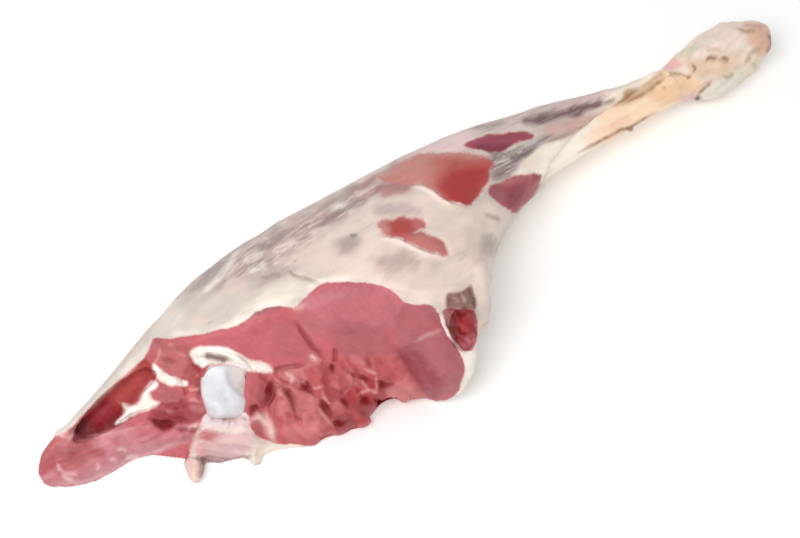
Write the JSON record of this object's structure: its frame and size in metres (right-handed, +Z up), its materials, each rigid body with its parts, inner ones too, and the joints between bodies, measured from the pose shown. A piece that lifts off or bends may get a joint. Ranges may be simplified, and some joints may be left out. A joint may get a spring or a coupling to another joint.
{
  "type": "raw goat leg",
  "caption": "Raw hind leg of goat lying on its side, sliced at the hip to show muscle and the ball of the thigh bone, with a fat-covered thigh, a bare shank bone and the hock.",
  "frame": {"origin": "on the table under the middle of the leg's box", "axes": "+X from the hip towards the hock, +Z up, and -Y towards the sliced face"},
  "size_m": [0.6152, 0.1604, 0.0936],
  "materials": {
    "flesh": "moist raw flesh with fat and membrane",
    "cartilage": "wet, smooth and bluish white",
    "bone": "scraped bone, satin",
    "sinew": "dry sinew, satin"
  },
  "bodies": {
    "root": {"leg_meat": "flesh", "thigh_bone": "cartilage", "shank_bone": "bone", "hock": "sinew"}
  },
  "joints": []
}
